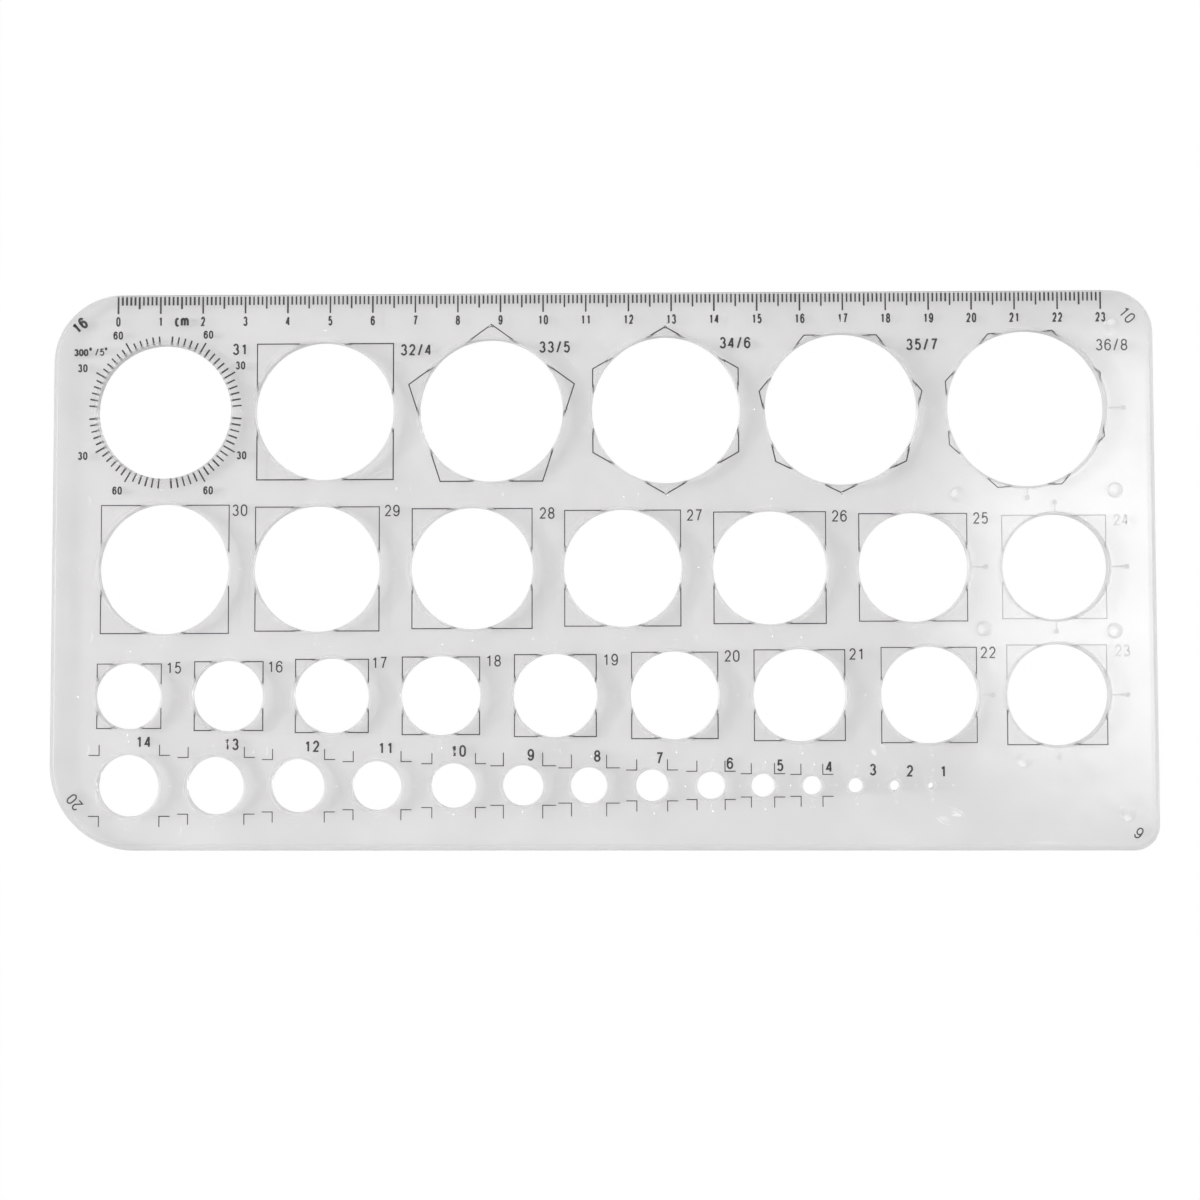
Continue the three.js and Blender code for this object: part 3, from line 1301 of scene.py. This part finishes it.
@dataclass
class Stage:
    """Pale floor, soft studio light and the camera."""

    eye: Triple = (5.3, -22.2, 371.7)
    target: Triple = (-0.3, -7.0, 0.0)
    roll: float = -0.11
    lens: float = 47.9
    sensor: float = 36.0
    floor_size: float = 6000.0
    floor_drop: float = 1.4
    floor_colour: Triple = (0.86, 0.86, 0.86)
    white_share: float = 0.985
    white_less_below: float = 0.5
    world_colour: Triple = (0.99, 1.0, 1.0)
    horizon: float = 0.12
    zenith: float = 0.62
    zenith_from: float = 0.7
    key_place: Triple = (-2120.0, 50.0, 1320.0)
    key_size: float = 320.0
    key_power: float = 30.0
    clip_start: float = 0.01
    windows: tuple[Window, ...] = (
        Window((0.327, 0.055, 0.944), 10.5, 0.0, 4.4),
        Window((-0.75, 0.0, 0.66), 27.0, 10.0, 2.2),
        Window((0.75, 0.05, 0.66), 14.0, 5.0, 4.0),
        Window((0.0, 0.8, 0.6), 14.0, 4.0, 2.0),
    )

    def build(self) -> None:
        """Sets up the floor, the world, the lamp and the camera."""
        bpy.context.scene.view_settings.view_transform = "Standard"
        self._floor()
        self._world()
        self._key_lamp()
        self._camera()

    def _floor(self) -> None:
        """Large plain floor that is white to the eye and keeps a trace of the shadow."""
        material, tree = new_material("floor")
        plain = add_node(tree, "BsdfDiffuse")
        feed(plain, {"Color": (*self.floor_colour, 1.0)})
        white = add_node(tree, "Emission")
        feed(white, {"Strength": 1.0})
        path = add_node(tree, "LightPath")
        share = add_node(tree, "Math", operation="MULTIPLY")
        feed(share, {1: self.white_share})
        below = add_node(tree, "Math", operation="MULTIPLY_ADD")
        feed(below, {1: -self.white_less_below})
        tree.links.new(self._seen(path), share.inputs[0])
        wire(path, "Is Transmission Ray", below, 0)
        wire(share, "Value", below, 2)
        show_mixed(below.outputs["Value"], plain, white)
        bm = bmesh.new()
        place = Matrix.Translation((0.0, 0.0, -self.floor_drop))
        bmesh.ops.create_grid(bm, x_segments=1, y_segments=1, size=self.floor_size / 2, matrix=place)
        make_piece(bm, "floor", material)

    def _seen(self, path: Node) -> NodeSocket:
        """Tells whether a ray comes from the eye, from a gloss or through the plate.

        Args:
            path: Light Path node of the floor or the world.

        Returns:
            1 for such a ray, and 0 for light that falls on a surface.
        """
        seen = path.outputs["Is Camera Ray"]
        for kind in ("Is Glossy Ray", "Is Transmission Ray"):
            either = add_node(path.id_data, "Math", operation="MAXIMUM")
            path.id_data.links.new(seen, either.inputs[0])
            wire(path, kind, either, 1)
            seen = either.outputs["Value"]
        return seen

    def _world(self) -> None:
        """Soft light from all round, dim at the horizon, with a few bright windows."""
        world = bpy.data.worlds.new("studio")
        world.use_nodes = True
        tree = world.node_tree
        place = add_node(tree, "TexCoord")
        height = add_node(tree, "SeparateXYZ")
        wire(place, "Generated", height, "Vector")
        total = add_node(tree, "MapRange", interpolation_type="SMOOTHSTEP")
        feed(total, {"From Max": self.zenith_from, "To Min": self.horizon, "To Max": self.zenith})
        wire(height, "Z", total, "Value")
        level = total.outputs["Result"]
        for window in self.windows:
            nearness = add_node(tree, "VectorMath", operation="DOT_PRODUCT")
            feed(nearness, {1: Vector(window.direction).normalized()})
            wire(place, "Generated", nearness, 0)
            patch = add_node(tree, "MapRange", interpolation_type="SMOOTHSTEP")
            outer = math.cos(math.radians(window.outer))
            inner = math.cos(math.radians(window.inner))
            feed(patch, {"From Min": outer, "From Max": inner, "To Max": window.strength})
            wire(nearness, "Value", patch, "Value")
            both = add_node(tree, "Math", operation="ADD")
            tree.links.new(level, both.inputs[0])
            wire(patch, "Result", both, 1)
            level = both.outputs["Value"]
        shown = add_node(tree, "Math", operation="MAXIMUM")
        tree.links.new(level, shown.inputs[0])
        tree.links.new(self._seen(add_node(tree, "LightPath")), shown.inputs[1])
        back = tree.nodes["Background"]
        feed(back, {"Color": (*self.world_colour, 1.0)})
        wire(shown, "Value", back, "Strength")
        bpy.context.scene.world = world

    def _key_lamp(self) -> None:
        """Hangs one square soft lamp on the left, so that the holes' shade falls to the right."""
        light = bpy.data.lights.new("key", "AREA")
        light.shape = "SQUARE"
        light.size = self.key_size * MM
        light.energy = self.key_power
        lamp = add_object("key", light)
        lamp.visible_camera = False
        place = Vector(self.key_place)
        turn = place.to_track_quat("Z", "Y").to_matrix().to_4x4()
        lamp.matrix_world = Matrix.Translation(place * MM) @ turn

    def _camera(self) -> None:
        """Places the camera above the plate, as in the photograph."""
        data = bpy.data.cameras.new("camera")
        data.lens = self.lens
        data.sensor_width = self.sensor
        data.sensor_fit = "HORIZONTAL"
        data.clip_start = self.clip_start
        camera = add_object("camera", data)
        eye = Vector(self.eye)
        ahead = (Vector(self.target) - eye).normalized()
        right = ahead.cross(Vector((0.0, 1.0, 0.0))).normalized()
        above = right.cross(ahead)
        turn = Matrix((right, above, -ahead)).transposed().to_4x4()
        roll = Matrix.Rotation(math.radians(self.roll), 4, "Z")
        camera.matrix_world = Matrix.Translation(eye * MM) @ turn @ roll
        bpy.context.scene.camera = camera


def dress(piece: Object, nodes: Iterable[str] = ()) -> None:
    """Ties a piece to the frame and reports it.

    Args:
        piece: Finished piece.
        nodes: CAD nodes that it stands for.
    """
    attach(piece, BODY)
    names = sorted(nodes)
    if names:
        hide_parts(*names)
    LOG.info("%s: %d faces, stands for %d nodes", piece.name, len(piece.data.polygons), len(names))


def main() -> None:
    """Builds the plate, the print and the stage."""
    logging.basicConfig(level=logging.INFO, format="%(message)s")
    random.seed(SEED)
    layout = Layout()
    plastics = [finish.material() for finish in (GLOSS_PLASTIC, BEVEL_PLASTIC, WALL_PLASTIC)]
    # The two grey inks are black print with a painted glare, for holes 23 and 24.
    ink, thin, figure_glare = (finish.material() for finish in (BLACK_INK, FRAME_GLARE_INK, FIGURE_GLARE_INK))
    dress(Plate(layout).build(*plastics), ["template_plate"])
    ruler_nodes = [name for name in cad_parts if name.startswith("ruler_mark_")]
    frame_nodes = [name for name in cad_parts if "_corner_" in name]
    stands_for = {"ruler_marks": ruler_nodes, "polygon_frames": frame_nodes}
    print_pieces = [
        *Ruler(layout).build(ink),
        *Frames(layout).build(ink, thin),
        *AngleRing(layout).build(ink),
        *SizeFigures(layout).build(ink, figure_glare),
    ]
    for piece in print_pieces:
        dress(piece, stands_for.get(piece.name, ()))
    Stage().build()
    bpy.context.view_layer.update()


if __name__ == "__main__":
    main()
